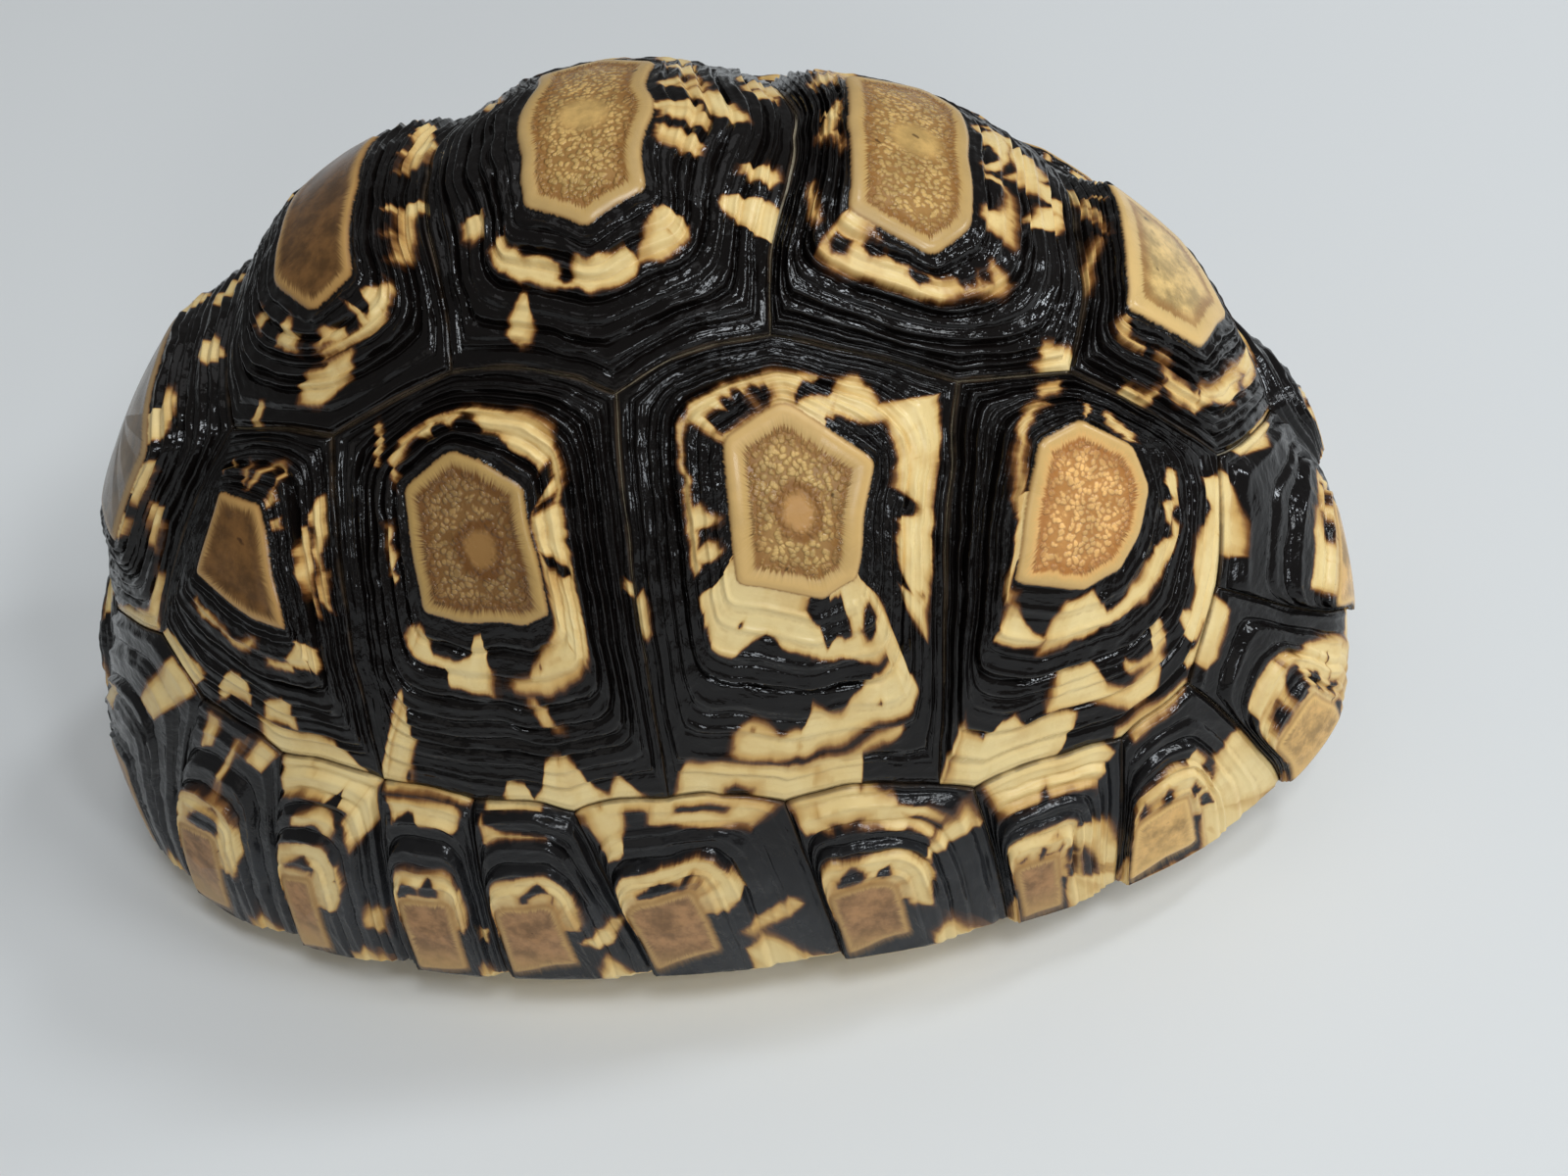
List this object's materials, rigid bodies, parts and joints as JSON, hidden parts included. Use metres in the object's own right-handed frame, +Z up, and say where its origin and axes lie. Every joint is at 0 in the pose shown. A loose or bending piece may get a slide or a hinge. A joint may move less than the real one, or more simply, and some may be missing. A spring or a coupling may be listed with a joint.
{
  "type": "tortoise shell",
  "caption": "Empty domed shell of a young leopard tortoise: black and cream horny scutes with growth rings on a hollow bone shell.",
  "frame": {"origin": "centre of the box's base, on the flat of the plastron", "axes": "+X towards the head end, +Y towards the animal's left, +Z up"},
  "size_m": [0.1382, 0.0846, 0.084],
  "materials": {
    "carapace_horn": "glossy black horn with cream patches, amber at their edges, and tan pebbled middles",
    "rim_horn": "satin, slightly dusty black and cream horn",
    "plastron_horn": "worn cream horn with black growth rays",
    "bone": "dry cream bone with fine sutures"
  },
  "bodies": {
    "root": {"bone_shell": "bone", "vertebral_scute_1": "carapace_horn", "vertebral_scute_2": "carapace_horn", "vertebral_scute_3": "carapace_horn", "vertebral_scute_4": "carapace_horn", "vertebral_scute_5": "carapace_horn", "costal_scute_left_1": "carapace_horn", "costal_scute_left_2": "carapace_horn", "costal_scute_left_3": "carapace_horn", "costal_scute_left_4": "carapace_horn", "marginal_scute_left_1": "rim_horn", "marginal_scute_left_2": "rim_horn", "marginal_scute_left_3": "rim_horn", "marginal_scute_left_4": "rim_horn", "marginal_scute_left_5": "rim_horn", "marginal_scute_left_6": "rim_horn", "marginal_scute_left_7": "rim_horn", "marginal_scute_left_8": "rim_horn", "marginal_scute_left_9": "rim_horn", "marginal_scute_left_10": "rim_horn", "marginal_scute_left_11": "rim_horn", "gular_scute_left": "plastron_horn", "humeral_scute_left": "plastron_horn", "pectoral_scute_left": "plastron_horn", "abdominal_scute_left": "plastron_horn", "femoral_scute_left": "plastron_horn", "anal_scute_left": "plastron_horn", "axillary_scute_left": "plastron_horn", "inguinal_scute_left": "plastron_horn", "costal_scute_right_1": "carapace_horn", "costal_scute_right_2": "carapace_horn", "costal_scute_right_3": "carapace_horn", "costal_scute_right_4": "carapace_horn", "marginal_scute_right_1": "rim_horn", "marginal_scute_right_2": "rim_horn", "marginal_scute_right_3": "rim_horn", "marginal_scute_right_4": "rim_horn", "marginal_scute_right_5": "rim_horn", "marginal_scute_right_6": "rim_horn", "marginal_scute_right_7": "rim_horn", "marginal_scute_right_8": "rim_horn", "marginal_scute_right_9": "rim_horn", "marginal_scute_right_10": "rim_horn", "marginal_scute_right_11": "rim_horn", "gular_scute_right": "plastron_horn", "humeral_scute_right": "plastron_horn", "pectoral_scute_right": "plastron_horn", "abdominal_scute_right": "plastron_horn", "femoral_scute_right": "plastron_horn", "anal_scute_right": "plastron_horn", "axillary_scute_right": "plastron_horn", "inguinal_scute_right": "plastron_horn", "supracaudal_scute": "rim_horn"}
  },
  "joints": []
}
